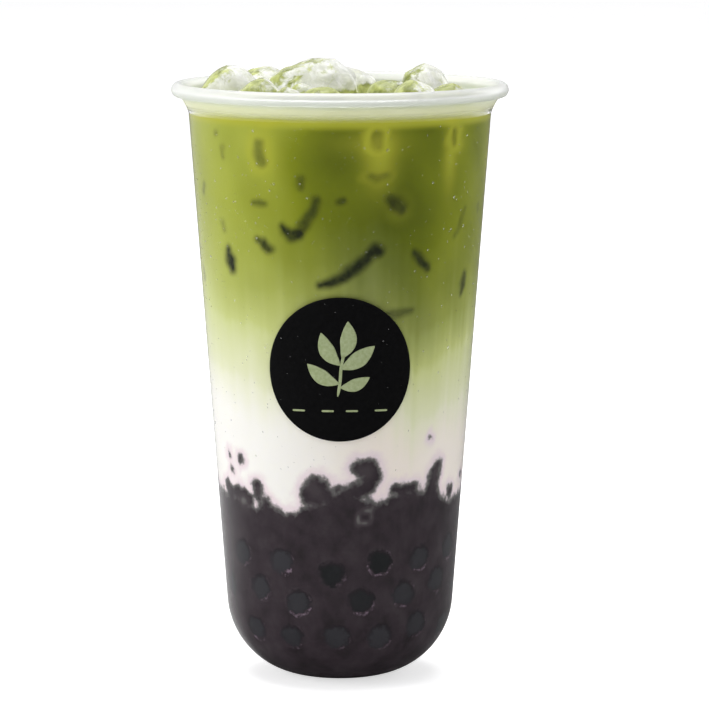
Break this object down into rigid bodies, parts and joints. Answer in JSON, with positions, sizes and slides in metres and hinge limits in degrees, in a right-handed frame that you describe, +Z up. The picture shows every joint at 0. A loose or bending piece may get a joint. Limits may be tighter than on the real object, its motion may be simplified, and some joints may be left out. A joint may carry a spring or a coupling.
{
  "type": "iced matcha latte",
  "caption": "Tall clear cup with a round base and a rolled rim, filled with dark pearls in mash, white milk and green matcha, with ice standing out of the top.",
  "frame": {"origin": "centre of the foot ring, on the surface that the cup stands on", "axes": "+Z up along the cup's axis; the label faces -Y, and +X is to the right of a viewer who faces the label"},
  "size_m": [0.095, 0.095, 0.1739],
  "materials": {
    "clear_plastic": "clear and glossy, with fine condensation outside",
    "black_label": "matt black film",
    "purple_mash": "dark and moist",
    "white_milk": "smooth and opaque",
    "green_matcha": "smooth, cloudy and opaque",
    "pale_froth": "fine bubbles",
    "ice": "wet, clear to cloudy"
  },
  "bodies": {
    "root": {"cup": "clear_plastic", "label": "black_label", "pearl_mash": "purple_mash", "milk_layer": "white_milk", "matcha_layer": "green_matcha", "froth": "pale_froth", "ice_large_middle": "ice", "ice_left": "ice", "ice_right": "ice", "ice_front_left": "ice", "ice_front_right": "ice", "ice_front_middle": "ice", "ice_small_left": "ice", "ice_between": "ice", "ice_middle_right": "ice", "ice_edge_right": "ice", "ice_back_left": "ice", "ice_back": "ice"}
  },
  "joints": []
}
